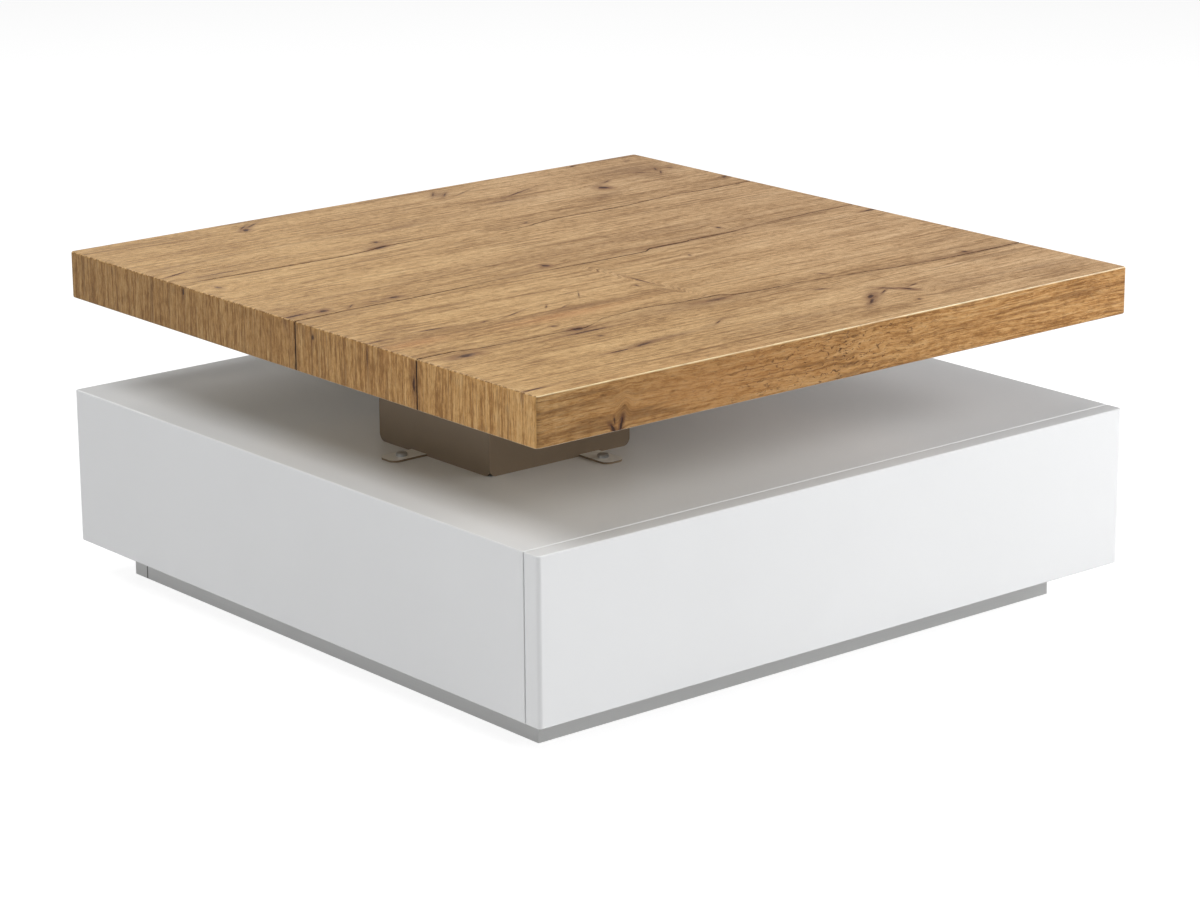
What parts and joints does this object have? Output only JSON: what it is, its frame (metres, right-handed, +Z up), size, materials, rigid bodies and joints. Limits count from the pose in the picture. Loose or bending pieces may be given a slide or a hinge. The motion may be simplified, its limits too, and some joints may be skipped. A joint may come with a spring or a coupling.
{
  "type": "swivel coffee table",
  "caption": "Low square coffee table: a thick oak top swivels off-centre on a steel pedestal over a white body with a handleless drawer and a set-back plinth.",
  "frame": {"origin": "on the floor under the middle of the table's square plan", "axes": "+Z up, the drawer front faces -Y, +X to the right of someone who faces the drawer"},
  "size_m": [0.75, 0.75, 0.344],
  "materials": {
    "oak": "planked oak with knots and open cracks, matt oiled, grain along X",
    "white_lacquer": "white high-gloss lacquer on MDF",
    "silver_plinth": "board wrapped in silver-grey satin foil",
    "drawer_box": "white melamine board",
    "plain_wood": "plain planed beech",
    "pedestal_steel": "grey powder-coated sheet steel, satin",
    "zinc_steel": "bright zinc plate",
    "ball_steel": "polished",
    "nylon": "natural nylon",
    "latch_plastic": "grey moulded plastic"
  },
  "bodies": {
    "body": {"carcass_top_panel": "white_lacquer", "carcass_bottom_panel": "white_lacquer", "carcass_left_side": "white_lacquer", "carcass_right_side": "white_lacquer", "carcass_back_panel": "white_lacquer", "plinth_front": "silver_plinth", "plinth_left": "silver_plinth", "plinth_right": "silver_plinth", "plinth_back": "silver_plinth", "plinth_corner_blocks": "plain_wood", "carcass_dowels": "plain_wood", "pedestal_box": "pedestal_steel", "bearing_lower_plate": "zinc_steel", "bearing_lower_bolts": "zinc_steel", "bearing_lower_nuts": "zinc_steel", "pivot_bolt": "zinc_steel", "pivot_lock_nut": "zinc_steel", "pedestal_bolts": "zinc_steel", "pedestal_washers": "zinc_steel", "pedestal_nuts": "zinc_steel", "plinth_screws": "zinc_steel", "left_runner_outer": "zinc_steel", "right_runner_outer": "zinc_steel", "runner_carcass_screws": "zinc_steel", "push_latch_spring": "zinc_steel", "push_latch_screws": "zinc_steel", "push_latch_housing": "latch_plastic"},
    "top": {"table_top": "oak", "bearing_upper_plate": "zinc_steel", "bearing_upper_screws": "zinc_steel", "pivot_thrust_washer": "nylon"},
    "ball_ring": {"bearing_cage": "nylon", "bearing_balls": "ball_steel"},
    "drawer": {"drawer_front": "white_lacquer", "drawer_box_front": "drawer_box", "drawer_left_side": "drawer_box", "drawer_right_side": "drawer_box", "drawer_back": "drawer_box", "drawer_bottom": "drawer_box", "drawer_box_screws": "zinc_steel", "drawer_front_screws": "zinc_steel", "left_runner_inner": "zinc_steel", "right_runner_inner": "zinc_steel", "runner_drawer_screws": "zinc_steel", "latch_strike_plate": "zinc_steel"},
    "left_runner_mid": {"left_runner_middle": "zinc_steel"},
    "right_runner_mid": {"right_runner_middle": "zinc_steel"},
    "left_outer_cage": {"left_outer_ball_cage": "zinc_steel", "left_outer_balls": "ball_steel"},
    "left_inner_cage": {"left_inner_ball_cage": "zinc_steel", "left_inner_balls": "ball_steel"},
    "right_outer_cage": {"right_outer_ball_cage": "zinc_steel", "right_outer_balls": "ball_steel"},
    "right_inner_cage": {"right_inner_ball_cage": "zinc_steel", "right_inner_balls": "ball_steel"},
    "latch_plunger": {"push_latch_plunger": "latch_plastic"}
  },
  "joints": [
    {"name": "top_swivel", "type": "hinge", "parent": "body", "child": "top", "pos_m": [-0.168, -0.068, 0.291], "axis": [0, 0, 1], "continuous": true},
    {"name": "ball_ring_spin", "type": "hinge", "parent": "body", "child": "ball_ring", "pos_m": [-0.168, -0.068, 0.291], "axis": [0, 0, 1], "continuous": true},
    {"name": "drawer_slide", "type": "slide", "parent": "body", "child": "drawer", "axis": [0, -1, 0], "range_m": [0, 0.43]},
    {"name": "left_runner_slide", "type": "slide", "parent": "body", "child": "left_runner_mid", "axis": [0, -1, 0], "range_m": [0, 0.215]},
    {"name": "right_runner_slide", "type": "slide", "parent": "body", "child": "right_runner_mid", "axis": [0, -1, 0], "range_m": [0, 0.215]},
    {"name": "left_outer_cage_slide", "type": "slide", "parent": "body", "child": "left_outer_cage", "axis": [0, -1, 0], "range_m": [0, 0.1075]},
    {"name": "left_inner_cage_slide", "type": "slide", "parent": "body", "child": "left_inner_cage", "axis": [0, -1, 0], "range_m": [0, 0.3225]},
    {"name": "right_outer_cage_slide", "type": "slide", "parent": "body", "child": "right_outer_cage", "axis": [0, -1, 0], "range_m": [0, 0.1075]},
    {"name": "right_inner_cage_slide", "type": "slide", "parent": "body", "child": "right_inner_cage", "axis": [0, -1, 0], "range_m": [0, 0.3225]},
    {"name": "latch_press", "type": "slide", "parent": "body", "child": "latch_plunger", "axis": [0, 1, 0], "range_m": [0, 0.003], "stiffness_N_per_m": 400, "springref_m": -0.01, "deforming": ["push_latch_spring"]}
  ],
  "couplings": [
    {"joint": "ball_ring_spin", "follows": "top_swivel", "ratio": 0.5},
    {"joint": "left_runner_slide", "follows": "drawer_slide", "ratio": 0.5},
    {"joint": "right_runner_slide", "follows": "drawer_slide", "ratio": 0.5},
    {"joint": "left_outer_cage_slide", "follows": "drawer_slide", "ratio": 0.25},
    {"joint": "left_inner_cage_slide", "follows": "drawer_slide", "ratio": 0.75},
    {"joint": "right_outer_cage_slide", "follows": "drawer_slide", "ratio": 0.25},
    {"joint": "right_inner_cage_slide", "follows": "drawer_slide", "ratio": 0.75}
  ]
}
